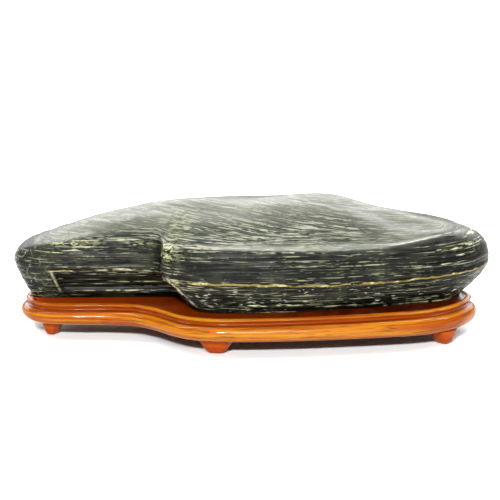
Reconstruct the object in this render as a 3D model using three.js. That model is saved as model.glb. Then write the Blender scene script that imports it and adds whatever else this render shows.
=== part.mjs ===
// A layered viewing stone resting in the seat of its carved wooden stand.
// Millimetres: +Z is up, +X runs along the length and the front faces -Y.
// The origin lies on the table, under the middle of the stone and its stand.

import * as THREE from 'three';
import { mergeVertices } from 'three/addons/utils/BufferGeometryUtils.js';

// Heights of the stand above the table
const FOOT_HEIGHT = 10.25;
const SEAT_FLOOR = 23;
const SEAT_EDGE = 28;
const STAND_TILT = 0.0095; // the tray grows thicker towards +X, in mm per mm

// Levels of the stone above the table
const NECK = 28.4; // where the stone comes out of its seat, at x = 0
const WIDEST = 53;
const CREST_Y = 40; // the long high line near the back of the top
const SPINE_Y = 15; // the line on which the top surface closes
const SPINE_HALF_LENGTH = 112;
const TOP_SLOPE = 0.195; // the top falls this much towards the front
const BACK_SLOPE = 0.25; // and this much towards the back
const CREST_ROUNDING = 10; // half the width over which one slope turns into the other
const LIFT_SPREAD = 45; // the rim's rises and dips spread over this many degrees further in
const SWELL = 0.7; // height of the broad waves on the worn top

// Relief of the layered face
const HOLLOW_DEPTH = 5; // under the left lobe's ledge
const HOLLOW_ANGLES = [20.2, 54];
const VEIN_HEIGHT = 0.7; // the vein on the right block stands out
const VEIN_ANGLES = [64, 176];
const COARSE_LAYER = 0.5;
const FINE_LAYER = 0.3;
const SHOULDER_TURN = THREE.MathUtils.degToRad(82); // the shoulder stops just short of level

// How the stone and the stand meet, and how finely both are divided
const SEAT_GAP = 0.4;
const COLUMNS = 102;
const FOOT_COLUMNS = 12;

// Places around the stone and its stand. Each row has the angle, where 0 is the left tip, 90 the
// front and 180 the right tip; the bead line on the tray's edge; the stone's outline in its seat
// and at its widest level; the rim where the face turns into the top; and two numbers for the
// curve of the face. The first is 1 where the undercut slants straight and more where it is
// round, and the second is 1 where the shoulder is round and less where it is square.
const STATIONS = [
  [0, [-160.5, 18], [-157.5, 17], [-170.3, 18], [-160, 19, 65], [1.2, 1]],
  [8.2, [-156, 2], [-156, 6], [-167, -1], [-158, 4, 66], [1.2, 0.9]],
  [13.5, [-147.5, -6.6], [-146, 4], [-157, -9.5], [-150, -4, 67.6], [1.2, 0.8]],
  [24, [-128, -10.6], [-127, 4], [-133, -14.5], [-130, -9.5, 70.9], [1.3, 0.7]],
  [36.3, [-102, -11.4], [-101, 4], [-104, -15], [-104, -10, 71.4], [1.3, 0.7]],
  [45.3, [-82, -15.2], [-75, 4], [-83, -15], [-83, -11, 71.8], [1.2, 0.7]],
  [51.3, [-69.5, -24], [-54, 2.5], [-67, -18], [-66.5, -15.5, 74.2], [1.1, 0.7]],
  [58, [-61, -33], [-46, -16], [-62.6, -31], [-61.5, -27.5, 74.9], [1, 0.6]],
  [63.5, [-53.8, -41.2], [-39.8, -34], [-62.4, -43], [-59.4, -39.5, 74.6], [1, 0.6]],
  [66.5, [-49.5, -45.2], [-35.6, -39.8], [-58.8, -48.6], [-55.6, -44.2, 74.3], [1, 0.6]],
  [72, [-41, -51], [-26, -44], [-48.5, -53.6], [-46, -49, 75.2], [1.1, 0.6]],
  [82, [-24, -56], [-8, -44.6], [-27, -58.8], [-26, -53, 75.2], [1.3, 0.6]],
  [94.7, [3, -56.3], [13, -44.3], [3, -59.3], [3, -53.5, 74.8], [1.5, 0.6]],
  [108, [35, -53.6], [35, -42.4], [34, -57.5], [34, -52, 73.9], [1.5, 0.6]],
  [122, [66, -49.2], [66, -36], [67, -52.5], [65, -46.5, 73.4], [1.5, 0.65]],
  [136, [94, -44.2], [93, -28.5], [98, -46], [94, -39, 74.2], [1.5, 0.7]],
  [150, [120, -37.5], [118, -21], [129, -36], [119, -29.5, 76.8], [1.5, 0.8]],
  [161.6, [138, -26.6], [135, -14.5], [152, -21], [137, -15, 77.8], [1.5, 0.9]],
  [172, [150, -11], [145.5, -3], [166, -2], [148, 1, 76.4], [1.5, 0.85]],
  [180, [155.3, 5], [149, 10], [170.3, 15], [152, 17, 75.6], [1.5, 0.85]],
  [189, [148.5, 24], [142, 25], [164.5, 33], [147, 31, 75.5], [1.5, 0.85]],
  [200, [133, 41], [128, 38], [146, 47], [131, 42, 78.5], [1.4, 0.9]],
  [217, [108, 52.5], [105, 47], [112, 55], [103, 48.5, 81.5], [1.4, 0.8]],
  [240, [62, 56.2], [62, 48.5], [64, 58.5], [62, 51, 89], [1.4, 0.8]],
  [268, [5, 56.6], [5, 49], [5, 59.5], [5, 52, 91], [1.4, 0.8]],
  [296, [-50, 56.2], [-50, 48], [-52, 58.5], [-51, 51, 88.5], [1.4, 0.8]],
  [321, [-100, 54.5], [-100, 46], [-105, 54], [-101, 46.5, 80], [1.4, 0.8]],
  [342, [-138, 47], [-137, 40], [-147, 46], [-140, 39, 70.5], [1.3, 0.9]],
  [352.4, [-156, 34], [-154, 29], [-165.5, 33], [-157, 30, 66], [1.2, 1]],
].map(([at, bead, base, wide, rim, curve]) => ({ at, bead, base, wide, rim, curve }));

// Height of the crest along the length of the stone: x, z
const CREST = [
  [-171, 57], [-158, 63], [-146, 68.6], [-132, 74], [-117, 80.3], [-103, 84.4], [-88, 87.7],
  [-73, 90.3], [-59, 91.2], [-30, 91.8], [-1, 92.6], [22, 94.8], [42, 97], [56, 96.9],
  [66, 95], [79, 90.3], [91, 86], [105, 83], [119, 79.6], [137, 76.4], [150, 73.5], [171, 56],
];

// Height of the split round the stone, which is the vein on the right block: angle, z
const LEDGE = [
  [0, 49.5], [44, 49.5], [54, 49.6], [65, 52], [88, 51.3], [118, 49.9], [149, 51.4], [166, 52.3],
  [200, 51], [300, 50], [350, 49.5],
];

// Section of the tray's edge, from the underside up to the shelf beside the stone:
// out from the bead line, height, and how far the point follows the tilt of the top.
const TRAY_SECTION = [
  [-1.5, FOOT_HEIGHT, 0],
  [1.3, 10.5, 0],
  [3.8, 11.7, 0.1],
  [5.5, 14, 0.3],
  [6, 16.6, 0.5],
  [5.1, 19.3, 0.7],
  [3.2, 21.2, 0.9],
  [1.4, 21.9, 1],
  [0.5, 22.9, 1],
  [0.9, 24.1, 1],
  [1.8, 25, 1],
  [1.7, 26.2, 1],
  [0.6, 27, 1],
  [-0.7, 26.9, 1],
  [-1.8, 26, 1],
  [-2.7, 25.7, 1],
];

// The six feet: the place on the bead line, how far inside it the foot's outer face stands, and
// its width as a share of the middle foot's
const FEET = [
  { name: 'foot_front_left', at: 14, inset: 4.5, share: 0.56 },
  { name: 'foot_front_centre', at: 81, inset: 4, share: 1 },
  { name: 'foot_front_right', at: 162.3, inset: -1, share: 0.66 },
  { name: 'foot_back_right', at: 205, inset: 4, share: 0.56 },
  { name: 'foot_back_centre', at: 268, inset: 4, share: 1 },
  { name: 'foot_back_left', at: 338, inset: 4, share: 0.56 },
];
const FOOT_DEPTH = 13;
// Foot section by height: height, half width, how far the outer face leans out
const FOOT_SECTION = [
  [0, 4, -1.9],
  [1.1, 5.9, -0.6],
  [3.4, 8.2, 0.3],
  [6.8, 10.7, 1],
  [FOOT_HEIGHT, 13.2, 1.8],
];

const SLATE = new THREE.MeshStandardMaterial({ color: 0x42443a, roughness: 0.45, metalness: 0 });
const VARNISHED_WOOD = new THREE.MeshStandardMaterial({ color: 0xd0742c, roughness: 0.3, metalness: 0 });
const FOOT_WOOD = new THREE.MeshStandardMaterial({ color: 0xc4552a, roughness: 0.4, metalness: 0 });

// Smooth value at an angle in degrees, through values given at rising angles around a full turn
function aroundAt(angles, values, at) {
  const count = angles.length;
  let low = count - 1;
  for (let i = 0; i < count - 1; i += 1) {
    if (at >= angles[i] && at < angles[i + 1]) low = i;
  }
  const turn = (i) => angles[((i % count) + count) % count] + 360 * Math.floor(i / count);
  const value = (i) => values[((i % count) + count) % count];
  const span = turn(low + 1) - turn(low);
  const u = (at - turn(low)) / span;
  const slopeLow = (value(low + 1) - value(low - 1)) / (turn(low + 1) - turn(low - 1));
  const slopeHigh = (value(low + 2) - value(low)) / (turn(low + 2) - turn(low));
  return hermite(value(low), value(low + 1), slopeLow * span, slopeHigh * span, u);
}

// Smooth value at a place, through points given at rising places, level past both ends
function alongAt(points, x) {
  const last = points.length - 1;
  if (x <= points[0][0]) return points[0][1];
  if (x >= points[last][0]) return points[last][1];
  const low = points.findIndex((point, i) => i < last && x < points[i + 1][0]);
  const slope = (i) => {
    const a = points[Math.max(i - 1, 0)];
    const b = points[Math.min(i + 1, last)];
    return (b[1] - a[1]) / (b[0] - a[0]);
  };
  const span = points[low + 1][0] - points[low][0];
  const u = (x - points[low][0]) / span;
  return hermite(points[low][1], points[low + 1][1], slope(low) * span, slope(low + 1) * span, u);
}

function hermite(a, b, slopeA, slopeB, u) {
  const u2 = u * u;
  const u3 = u2 * u;
  return a * (2 * u3 - 3 * u2 + 1) + slopeA * (u3 - 2 * u2 + u) + b * (3 * u2 - 2 * u3) + slopeB * (u3 - u2);
}

// Point at an angle on the closed outline that one key of the stations describes
function outlinePoint(key, at) {
  return new THREE.Vector2(
    stationValue((station) => station[key][0], at),
    stationValue((station) => station[key][1], at),
  );
}

function stationValue(read, at) {
  return aroundAt(STATIONS.map((station) => station.at), STATIONS.map(read), at);
}

// Level outward direction of a closed ring of points that runs anticlockwise from above
function outward(ring, i) {
  const before = ring[(i + ring.length - 1) % ring.length];
  const after = ring[(i + 1) % ring.length];
  const length = Math.hypot(after.x - before.x, after.y - before.y);
  return new THREE.Vector2((after.y - before.y) / length, (before.x - after.x) / length);
}

function offsetRing(ring, distance) {
  return ring.map((point, i) => point.clone().addScaledVector(outward(ring, i), distance));
}

function anglesOf(columns) {
  return Array.from({ length: columns }, (_, i) => (360 * i) / columns);
}

// One closed body from rings stacked bottom to top. A null centre closes the top by itself,
// where the last ring folds flat onto a line.
function stackedBody(rings, bottomCentre, topCentre) {
  const columns = rings[0].length;
  const positions = rings.flat().flatMap((point) => [point.x, point.y, point.z]);
  const index = [];
  for (let row = 0; row < rings.length - 1; row += 1) {
    for (let i = 0; i < columns; i += 1) {
      const next = (i + 1) % columns;
      const a = row * columns + i;
      const b = row * columns + next;
      const c = a + columns;
      const d = b + columns;
      index.push(a, b, d, a, d, c);
    }
  }
  const addFan = (centre, firstVertex, facesUp) => {
    const middle = positions.length / 3;
    positions.push(centre.x, centre.y, centre.z);
    for (let i = 0; i < columns; i += 1) {
      const a = firstVertex + i;
      const b = firstVertex + ((i + 1) % columns);
      if (facesUp) index.push(a, b, middle);
      else index.push(b, a, middle);
    }
  };
  addFan(bottomCentre, 0, false);
  if (topCentre) addFan(topCentre, (rings.length - 1) * columns, true);
  const geometry = new THREE.BufferGeometry();
  geometry.setAttribute('position', new THREE.Float32BufferAttribute(positions, 3));
  geometry.setIndex(index);
  return withFaceNormals(geometry);
}

// Merged vertices, with the flat triangles that merging leaves taken out
function withFaceNormals(geometry) {
  const merged = mergeVertices(geometry, 1e-3);
  const kept = [];
  const index = merged.getIndex().array;
  for (let i = 0; i < index.length; i += 3) {
    const [a, b, c] = [index[i], index[i + 1], index[i + 2]];
    if (a !== b && b !== c && c !== a) kept.push(a, b, c);
  }
  merged.setIndex(kept);
  merged.computeVertexNormals();
  return merged;
}

// 1 between two angles, falling to 0 over a few degrees at each end
function between(at, from, to, fade) {
  const rise = THREE.MathUtils.smoothstep(at, from, from + fade);
  return rise * (1 - THREE.MathUtils.smoothstep(at, to - fade, to));
}

// How far the layered face stands out from its smooth form
function faceRelief(at, z) {
  const below = alongAt(LEDGE, at) - z;
  const hollow = HOLLOW_DEPTH * between(at, ...HOLLOW_ANGLES, 1.5) * THREE.MathUtils.smoothstep(z, 29, 38);
  const underLedge = THREE.MathUtils.smoothstep(below, 0, 0.5);
  const vein = Math.abs(below) < 1 ? VEIN_HEIGHT * between(at, ...VEIN_ANGLES, 8) : 0;
  const coarse = COARSE_LAYER * Math.sin(z * 1.9 + Math.sin(at / 11));
  const fine = FINE_LAYER * Math.sin(z * 0.83 + at / 19);
  const inSeat = THREE.MathUtils.smoothstep(z, NECK + 2, NECK + 6);
  return (vein + coarse + fine - hollow * underLedge) * inSeat;
}

// Broad hollows and swells of the worn top
function topSwell(x, y) {
  return SWELL * Math.sin(x / 15 + y / 21) * Math.sin(y / 9 - x / 47);
}

// Height of the top: the crest's line, smoothed more the further forward it is
function topHeight(x, y) {
  const spread = 0.4 * Math.max(CREST_Y - y, 0);
  const crest = (alongAt(CREST, x - spread) + 2 * alongAt(CREST, x) + alongAt(CREST, x + spread)) / 4;
  const slope = y < CREST_Y ? TOP_SLOPE : BACK_SLOPE;
  const fall = slope * (Math.hypot(y - CREST_Y, CREST_ROUNDING) - CREST_ROUNDING);
  return crest - fall + topSwell(x, y);
}

// Rings of the undercut lower face, from the seat floor to the widest level. A step from 0 to 1
// rises to the ledge, and one from 1 to 2 from the ledge to the widest level.
function lowerFaceRings(angles, steps) {
  const base = angles.map((at) => outlinePoint('base', at));
  const wide = angles.map((at) => outlinePoint('wide', at));
  const lean = angles.map((at) => stationValue((station) => station.curve[0], at));
  const seated = base.map((point) => new THREE.Vector3(point.x, point.y, SEAT_FLOOR));
  const face = steps.map((step) => angles.map((at, i) => {
    const neck = NECK + STAND_TILT * base[i].x;
    const ledge = alongAt(LEDGE, at);
    const z = step < 1
      ? THREE.MathUtils.lerp(neck, ledge, step)
      : THREE.MathUtils.lerp(ledge, WIDEST, step - 1);
    const level = (z - neck) / (WIDEST - neck);
    const point = base[i].clone().lerp(wide[i], 1 - (1 - level) ** lean[i]);
    point.addScaledVector(outward(wide, i), faceRelief(at, z));
    return new THREE.Vector3(point.x, point.y, z);
  }));
  return [seated, ...face];
}

// Rings of the upper face, a quarter round from the widest level to just short of level
function upperFaceRings(angles, steps) {
  const wide = angles.map((at) => outlinePoint('wide', at));
  return steps.map((step) => angles.map((at, i) => {
    const rim = outlinePoint('rim', at);
    const rimHeight = stationValue((station) => station.rim[2], at);
    const square = stationValue((station) => station.curve[1], at);
    const inwards = (turn) => 1 - Math.cos(turn) ** square;
    const upwards = (turn) => Math.sin(turn) ** square;
    const turn = step * SHOULDER_TURN;
    const point = wide[i].clone().lerp(rim, inwards(turn) / inwards(SHOULDER_TURN));
    const z = THREE.MathUtils.lerp(WIDEST, rimHeight, upwards(turn) / upwards(SHOULDER_TURN));
    point.addScaledVector(outward(wide, i), faceRelief(at, z) * (1 - step));
    return new THREE.Vector3(point.x, point.y, z);
  }));
}

// How far the rim stands over the plain form of the top, evened out over a spread of angles
function rimLift(at, spread) {
  const lifts = [-1, -0.5, 0, 0.5, 1].map((share) => {
    const angle = (at + share * spread + 360) % 360;
    const rim = outlinePoint('rim', angle);
    return stationValue((station) => station.rim[2], angle) - topHeight(rim.x, rim.y);
  });
  return lifts.reduce((sum, lift) => sum + lift, 0) / lifts.length;
}

// Rings of the top, from the rim in to the spine
function topRings(angles, steps) {
  return steps.map((step) => angles.map((at) => {
    const spineX = -SPINE_HALF_LENGTH * Math.cos(THREE.MathUtils.degToRad(at));
    const point = outlinePoint('rim', at).lerp(new THREE.Vector2(spineX, SPINE_Y), step);
    const lift = rimLift(at, LIFT_SPREAD * step) * (1 - step) ** 2;
    return new THREE.Vector3(point.x, point.y, topHeight(point.x, point.y) + lift);
  }));
}

function stoneGeometry() {
  const angles = anglesOf(COLUMNS);
  const rings = [
    ...lowerFaceRings(angles, [0, 0.14, 0.3, 0.45, 0.6, 0.74, 0.87, 0.965, 1.01, 1.35, 1.7, 2]),
    ...upperFaceRings(angles, [0.08, 0.2, 0.36, 0.55, 0.78, 1]),
    ...topRings(angles, [0.05, 0.12, 0.22, 0.38, 0.58, 0.8, 1]),
  ];
  return stackedBody(rings, new THREE.Vector3(0, SPINE_Y, SEAT_FLOOR), null);
}

function trayGeometry() {
  const angles = anglesOf(COLUMNS);
  const bead = angles.map((at) => outlinePoint('bead', at));
  const seat = offsetRing(angles.map((at) => outlinePoint('base', at)), SEAT_GAP);
  const edge = TRAY_SECTION.map(([out, height, tiltShare]) => offsetRing(bead, out).map(
    (point, i) => new THREE.Vector3(point.x, point.y, height + STAND_TILT * tiltShare * bead[i].x),
  ));
  const seatEdge = seat.map((point) => new THREE.Vector3(point.x, point.y, SEAT_EDGE + STAND_TILT * point.x));
  const seatFloor = seat.map((point) => new THREE.Vector3(point.x, point.y, SEAT_FLOOR));
  return stackedBody(
    [...edge, seatEdge, seatFloor],
    new THREE.Vector3(0, SPINE_Y, FOOT_HEIGHT),
    new THREE.Vector3(0, SPINE_Y, SEAT_FLOOR),
  );
}

// A short rounded foot that widens up to the tray, its outer face along the tray's edge
function footGeometry(share) {
  const rings = FOOT_SECTION.map(([height, halfWidth, leanOut]) => anglesOf(FOOT_COLUMNS).map((at) => {
    const turn = THREE.MathUtils.degToRad(at);
    const squared = (value) => Math.sign(value) * Math.sqrt(Math.abs(value));
    const outer = squared(Math.sin(turn)) * FOOT_DEPTH / 2;
    const lean = outer > 0 ? leanOut : 0;
    return new THREE.Vector3(squared(Math.cos(turn)) * halfWidth * share, outer + lean, height);
  }));
  return stackedBody(rings, new THREE.Vector3(0, 0, 0), new THREE.Vector3(0, 0, FOOT_HEIGHT));
}

function placedFoot({ name, at, inset, share }) {
  const foot = new THREE.Mesh(footGeometry(share), FOOT_WOOD);
  const ring = [at - 2, at, at + 2].map((angle) => outlinePoint('bead', angle));
  const out = outward(ring, 1);
  const place = ring[1].clone().addScaledVector(out, -inset - FOOT_DEPTH / 2);
  foot.name = name;
  foot.position.set(place.x, place.y, 0);
  foot.rotation.z = Math.atan2(out.y, out.x) - Math.PI / 2;
  return foot;
}

function named(name, geometry, material) {
  const mesh = new THREE.Mesh(geometry, material);
  mesh.name = name;
  return mesh;
}

const group = new THREE.Group();
group.add(named('stone', stoneGeometry(), SLATE));
group.add(named('stand_tray', trayGeometry(), VARNISHED_WOOD));
FEET.forEach((foot) => group.add(placedFoot(foot)));

export default group;
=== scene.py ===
"""A layered viewing stone resting in its carved wooden stand.

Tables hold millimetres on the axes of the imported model: +Z is up, +X runs along the length
and the front faces -Y. The origin lies on the table. Meshes are made in metres.
"""

import logging
import math
from dataclasses import dataclass, field
from enum import Enum

import bpy
import numpy as np
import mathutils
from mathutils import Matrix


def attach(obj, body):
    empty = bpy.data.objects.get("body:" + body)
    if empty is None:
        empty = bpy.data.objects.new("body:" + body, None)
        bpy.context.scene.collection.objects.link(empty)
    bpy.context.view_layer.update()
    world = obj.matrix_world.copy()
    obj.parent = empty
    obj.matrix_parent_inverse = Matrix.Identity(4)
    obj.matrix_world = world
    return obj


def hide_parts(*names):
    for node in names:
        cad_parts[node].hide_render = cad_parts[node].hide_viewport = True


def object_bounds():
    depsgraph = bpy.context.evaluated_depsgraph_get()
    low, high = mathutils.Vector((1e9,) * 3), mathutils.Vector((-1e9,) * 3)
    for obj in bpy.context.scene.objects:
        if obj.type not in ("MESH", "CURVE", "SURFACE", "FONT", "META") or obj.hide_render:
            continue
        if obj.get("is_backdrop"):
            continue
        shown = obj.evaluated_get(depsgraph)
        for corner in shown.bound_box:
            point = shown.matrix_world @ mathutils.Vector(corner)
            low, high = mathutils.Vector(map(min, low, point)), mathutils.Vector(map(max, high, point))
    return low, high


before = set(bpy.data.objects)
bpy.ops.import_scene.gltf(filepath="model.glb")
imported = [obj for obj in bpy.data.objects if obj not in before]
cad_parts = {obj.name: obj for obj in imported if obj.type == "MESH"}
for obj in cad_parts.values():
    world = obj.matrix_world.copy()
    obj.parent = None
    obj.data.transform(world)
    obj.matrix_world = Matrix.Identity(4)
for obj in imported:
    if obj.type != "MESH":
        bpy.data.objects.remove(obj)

MM = 0.001
CAD_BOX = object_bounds()
LOG = logging.getLogger("viewing_stone")

Colour = tuple[float, float, float]
Vector = tuple[float, float, float]
# From and to, and what these turn into where that isn't 0 and 1
Range = tuple[float, ...]
# Finer octaves of a noise, their strength, and the size of a feature
Speckle = tuple[float, float, float]
Array = np.ndarray
Socket = bpy.types.NodeSocket
Material = bpy.types.Material
Thing = bpy.types.Object

# Middle of the stand from front to back, the floor of its seat, and its rise along the length
MIDDLE_Y = 15
SEAT_FLOOR = 23
TILT = 0.0095


class Outline(Enum):
    """The closed outlines and curves that the stations hold, as columns of the table."""

    BEAD = slice(1, 3)
    BASE = slice(3, 5)
    WIDE = slice(5, 7)
    RIM = slice(7, 9)
    RIM_HEIGHT = slice(9, 10)
    LEAN = slice(10, 11)
    SQUARE = slice(11, 12)


# Angle from the left tip round the front; bead line, stone base, widest outline, rim, and the
# lean and squareness of the face
STATIONS = np.array([
    (0, -160.5, 18, -157.5, 17, -170.3, 18, -160, 19, 65, 1.2, 1),
    (8.2, -156, 2, -156, 6, -167, -1, -158, 4, 66, 1.2, 0.9),
    (13.5, -147.5, -6.6, -146, 4, -157, -9.5, -150, -4, 67.6, 1.2, 0.8),
    (24, -128, -10.6, -127, 4, -133, -14.5, -130, -9.5, 70.9, 1.3, 0.7),
    (36.3, -102, -11.4, -101, 4, -104, -15, -104, -10, 71.4, 1.3, 0.7),
    (45.3, -82, -15.2, -75, 4, -83, -15, -83, -11, 71.8, 1.2, 0.7),
    (51.3, -69.5, -24, -54, 2.5, -67, -18, -66.5, -15.5, 74.2, 1.1, 0.7),
    (58, -61, -33, -46, -16, -62.6, -31, -61.5, -27.5, 74.9, 1, 0.6),
    (63.5, -53.8, -41.2, -39.8, -34, -62.4, -43, -59.4, -39.5, 74.6, 1, 0.6),
    (66.5, -49.5, -45.2, -35.6, -39.8, -58.8, -48.6, -55.6, -44.2, 74.3, 1, 0.6),
    (72, -41, -51, -26, -44, -48.5, -53.6, -46, -49, 75.2, 1.1, 0.6),
    (82, -24, -56, -8, -44.6, -27, -58.8, -26, -53, 75.2, 1.3, 0.6),
    (94.7, 3, -56.3, 13, -44.3, 3, -59.3, 3, -53.5, 74.8, 1.5, 0.6),
    (108, 35, -53.6, 35, -42.4, 34, -57.5, 34, -52, 73.9, 1.5, 0.6),
    (122, 66, -49.2, 66, -36, 67, -52.5, 65, -46.5, 73.4, 1.5, 0.65),
    (136, 94, -44.2, 93, -28.5, 98, -46, 94, -39, 74.2, 1.5, 0.7),
    (150, 120, -37.5, 118, -21, 129, -36, 119, -29.5, 76.8, 1.5, 0.8),
    (161.6, 138, -26.6, 135, -14.5, 152, -21, 137, -15, 77.8, 1.5, 0.9),
    (172, 150, -11, 145.5, -3, 166, -2, 148, 1, 76.4, 1.5, 0.85),
    (180, 155.3, 5, 149, 10, 170.3, 15, 152, 17, 75.6, 1.5, 0.85),
    (189, 148.5, 24, 142, 25, 164.5, 33, 147, 31, 75.5, 1.5, 0.85),
    (200, 133, 41, 128, 38, 146, 47, 131, 42, 78.5, 1.4, 0.9),
    (217, 108, 52.5, 105, 47, 112, 55, 103, 48.5, 81.5, 1.4, 0.8),
    (240, 62, 56.2, 62, 48.5, 64, 58.5, 62, 51, 89, 1.4, 0.8),
    (268, 5, 56.6, 5, 49, 5, 59.5, 5, 52, 91, 1.4, 0.8),
    (296, -50, 56.2, -50, 48, -52, 58.5, -51, 51, 88.5, 1.4, 0.8),
    (321, -100, 54.5, -100, 46, -105, 54, -101, 46.5, 80, 1.4, 0.8),
    (342, -138, 47, -137, 40, -147, 46, -140, 39, 70.5, 1.3, 0.9),
    (352.4, -156, 34, -154, 29, -165.5, 33, -157, 30, 66, 1.2, 1),
])

# The long high line of the top, x and height
CREST = np.array([
    (-171, 57), (-158, 63), (-146, 68.6), (-132, 74), (-117, 80.3), (-103, 84.4), (-88, 87.7),
    (-73, 90.3), (-59, 91.2), (-30, 91.8), (-1, 92.6), (22, 94.8), (42, 97), (56, 96.9),
    (66, 95), (79, 90.3), (91, 86), (105, 83), (119, 79.6), (137, 76.4), (150, 73.5), (171, 56),
])

# Height of the split round the stone, which is the vein on the right block: angle and height
LEDGE = np.array([
    (0, 49.5), (44, 49.5), (54, 49.6), (65, 52), (88, 51.3), (118, 49.9), (149, 51.4), (166, 52.3),
    (200, 51), (300, 50), (350, 49.5),
])

# How far the layers have dipped along the top, x and depth
DIP = np.array([
    (-171, -16), (-110, -10), (-60, -1), (0, 13), (57, 25), (80, 27.5), (100, 27.5), (137, 24),
    (171, 18),
])

# Section of the stand's edge from underneath up and in to the flange: distance out from the
# bead line, height, share of the tilt. A repeated row makes a crisp corner.
EDGE_SECTION = np.array([
    (-1.5, 10.25, 0), (1.3, 10.5, 0), (3.8, 11.7, 0.1), (5.5, 14, 0.3), (6, 16.6, 0.5),
    (5.1, 19.3, 0.7), (3.2, 21.2, 0.9), (1.4, 21.9, 1), (1.4, 21.9, 1), (0.5, 22.9, 1),
    (0.9, 24.1, 1), (1.7, 24.9, 1), (1.7, 24.9, 1), (2, 25.6, 1), (1.7, 26.3, 1), (0.6, 27, 1),
    (-0.7, 26.9, 1), (-1.8, 26, 1), (-1.8, 26, 1), (-2.7, 25.7, 1),
])

# Section of a foot from the table up: height, half width, how far the outer face leans out
FOOT_SECTION = (
    (0, 3.4, -2.6), (0.2, 4.4, -1.9), (0.7, 5.4, -1.1), (1.5, 6.4, -0.5), (2.5, 7.4, 0),
    (3.8, 8.5, 0.3), (5.4, 9.7, 0.6), (7, 10.8, 1), (8.6, 11.9, 1.4), (10.25, 13.3, 1.8),
)

# The feet: angle on the bead line, how far inside it the foot's outer face stands, and the
# foot's width as a share of the middle one's
FEET = {
    "foot_front_left": (14, 4.5, 0.56),
    "foot_front_centre": (81, 4, 1),
    "foot_front_right": (162.3, -1, 0.66),
    "foot_back_right": (205, 4, 0.56),
    "foot_back_centre": (268, 4, 1),
    "foot_back_left": (338, 4, 0.56),
}


def hermite(start: Array, end: Array, leave: Array, arrive: Array, share: Array) -> Array:
    """Smooth value between two values with given slopes.

    Args:
        start: Value where the share is 0.
        end: Value where the share is 1.
        leave: Slope at the start.
        arrive: Slope at the end.
        share: Share of the way, 0 to 1.

    Returns:
        The value at each share of the way.
    """
    squared = share ** 2
    cubed = share ** 3
    return (start * (2 * cubed - 3 * squared + 1) + leave * (cubed - 2 * squared + share)
            + end * (3 * squared - 2 * cubed) + arrive * (cubed - squared))


def along(points: Array, x: Array) -> Array:
    """Smooth values of a line that is given by a few points.

    Args:
        points: Rows of a place and its values, at rising places.
        x: Places along the line.

    Returns:
        The values at each place, level past both ends. A single value has no column of its own.
    """
    last = len(points) - 1
    inside = np.clip(x, points[0, 0], points[last, 0] - 1e-6)
    low = np.searchsorted(points[:, 0], inside, side="right") - 1
    places, values = points[:, :1], points[:, 1:]

    def slope(i: Array) -> Array:
        """Slope of the line at one of its points."""
        before, after = np.maximum(i - 1, 0), np.minimum(i + 1, last)
        return (values[after] - values[before]) / (places[after] - places[before])

    span = places[low + 1] - places[low]
    share = (inside[..., None] - places[low]) / span
    leave, arrive = slope(low) * span, slope(low + 1) * span
    smooth = hermite(values[low], values[low + 1], leave, arrive, share)
    return smooth if smooth.shape[-1] > 1 else smooth[..., 0]


def around(outline: Outline, at: Array) -> Array:
    """Smooth values of one outline of the stations.

    Args:
        outline: Which columns of the stations to read.
        at: Angles in degrees, from 0 up to 360.

    Returns:
        The values at each angle.
    """
    places = STATIONS[:, 0]
    places = np.concatenate([places[-2:] - 360, places, places[:2] + 360])
    values = STATIONS[:, outline.value]
    values = np.concatenate([values[-2:], values, values[:2]])
    return along(np.column_stack([places, values]), at)


def smoothstep(value: Array, low: float, high: float) -> Array:
    """Eased share of the way from low to high, 0 before and 1 after."""
    share = np.clip((value - low) / (high - low), 0, 1)
    return share * share * (3 - 2 * share)


@dataclass(frozen=True)
class Ramp:
    """A share that rises from nothing at one value to its full at another."""

    low: float
    high: float
    full: float = 1

    def over(self, value: Array) -> Array:
        """Share at each value."""
        return self.full * smoothstep(value, self.low, self.high)


@dataclass(frozen=True)
class Stretch:
    """A share that is full from one value to another and fades inside both ends."""

    start: float
    end: float
    fade: float
    full: float = 1

    def over(self, value: Array) -> Array:
        """Share at each value."""
        rise = smoothstep(value, self.start, self.start + self.fade)
        return self.full * rise * (1 - smoothstep(value, self.end - self.fade, self.end))


@dataclass(frozen=True)
class Hump:
    """A share that is full at one value and falls off softly to both sides."""

    middle: float
    reach: float
    full: float = 1

    def over(self, value: Array) -> Array:
        """Share at each value."""
        return self.full * np.exp(-((value - self.middle) / self.reach) ** 2)


class Place(Enum):
    """Named places, each held as a share that depends on an angle, a height or a step."""

    def over(self, value: Array) -> Array:
        """Share that the place has at each value."""
        return self.value.over(value)

    def outside(self, value: Array) -> Array:
        """Share that the place leaves at each value."""
        return 1 - self.value.over(value)


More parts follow.
